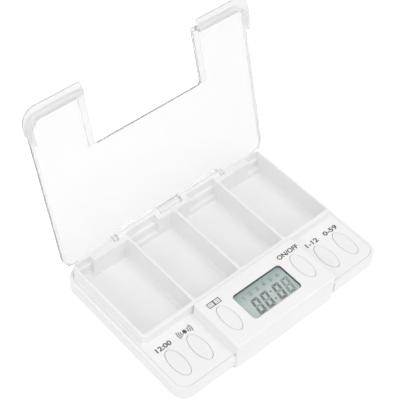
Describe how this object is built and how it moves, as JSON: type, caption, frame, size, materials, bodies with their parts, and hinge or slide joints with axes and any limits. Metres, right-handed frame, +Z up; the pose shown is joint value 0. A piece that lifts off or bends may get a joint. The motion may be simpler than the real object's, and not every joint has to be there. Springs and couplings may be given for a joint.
{
  "type": "pill box with timer",
  "caption": "Shallow white pill box with open compartments, a timer display block, oval buttons and a clear hinged lid standing open.",
  "frame": {"origin": "on the flat underside of the case, under the middle of the case", "axes": "+X to the right along the compartments, +Y from the display towards the lid hinge, +Z up"},
  "size_m": [0.118, 0.1, 0.0891],
  "materials": {
    "white_plastic": "fine satin white moulding",
    "button_plastic": "satin white moulding",
    "clear_plastic": "clear polished polystyrene",
    "clear_window": "clear polished window",
    "display": "grey-green reflective liquid crystal display",
    "elastomer": "layered elastomer",
    "board": "green solder mask",
    "black_plastic": "black moulding",
    "resin": "black potting resin",
    "nickel": "nickel plate",
    "screw_steel": "zinc-plated steel"
  },
  "bodies": {
    "case": {"top_housing": "white_plastic", "bottom_shell": "white_plastic", "display_holder": "black_plastic", "display_lens": "clear_window", "display_glass": "display", "display_connectors": "elastomer", "circuit_board": "board", "switch_bodies": "black_plastic", "buzzer": "black_plastic", "controller_chip": "resin", "timing_crystal": "nickel", "button_cells": "nickel", "cell_contacts": "nickel", "bridge_contact": "nickel", "battery_door": "white_plastic", "case_screws": "screw_steel", "board_screws": "screw_steel", "battery_door_screw": "screw_steel"},
    "lid": {"lid": "clear_plastic"},
    "button_time": {"button_time": "button_plastic", "plunger_time": "black_plastic"},
    "button_alarm": {"button_alarm": "button_plastic", "plunger_alarm": "black_plastic"},
    "button_memo": {"button_memo": "button_plastic", "plunger_memo": "black_plastic"},
    "button_on_off": {"button_on_off": "button_plastic", "plunger_on_off": "black_plastic"},
    "button_hour": {"button_hour": "button_plastic", "plunger_hour": "black_plastic"},
    "button_minute": {"button_minute": "button_plastic", "plunger_minute": "black_plastic"}
  },
  "joints": [
    {"name": "lid_hinge", "type": "hinge", "parent": "case", "child": "lid", "pos_m": [0, 0.0374, 0.0131], "axis": [1, 0, 0], "range_deg": [0, 107]},
    {"name": "time_press", "type": "slide", "parent": "case", "child": "button_time", "axis": [0, 0, -1], "range_m": [0, 0.0004], "stiffness_N_per_m": 2500, "springref_m": -0.0002},
    {"name": "alarm_press", "type": "slide", "parent": "case", "child": "button_alarm", "axis": [0, 0, -1], "range_m": [0, 0.0004], "stiffness_N_per_m": 2500, "springref_m": -0.0002},
    {"name": "memo_press", "type": "slide", "parent": "case", "child": "button_memo", "axis": [0, 0, -1], "range_m": [0, 0.0004], "stiffness_N_per_m": 2500, "springref_m": -0.0002},
    {"name": "on_off_press", "type": "slide", "parent": "case", "child": "button_on_off", "axis": [0, 0, -1], "range_m": [0, 0.0004], "stiffness_N_per_m": 2500, "springref_m": -0.0002},
    {"name": "hour_press", "type": "slide", "parent": "case", "child": "button_hour", "axis": [0, 0, -1], "range_m": [0, 0.0004], "stiffness_N_per_m": 2500, "springref_m": -0.0002},
    {"name": "minute_press", "type": "slide", "parent": "case", "child": "button_minute", "axis": [0, 0, -1], "range_m": [0, 0.0004], "stiffness_N_per_m": 2500, "springref_m": -0.0002}
  ]
}
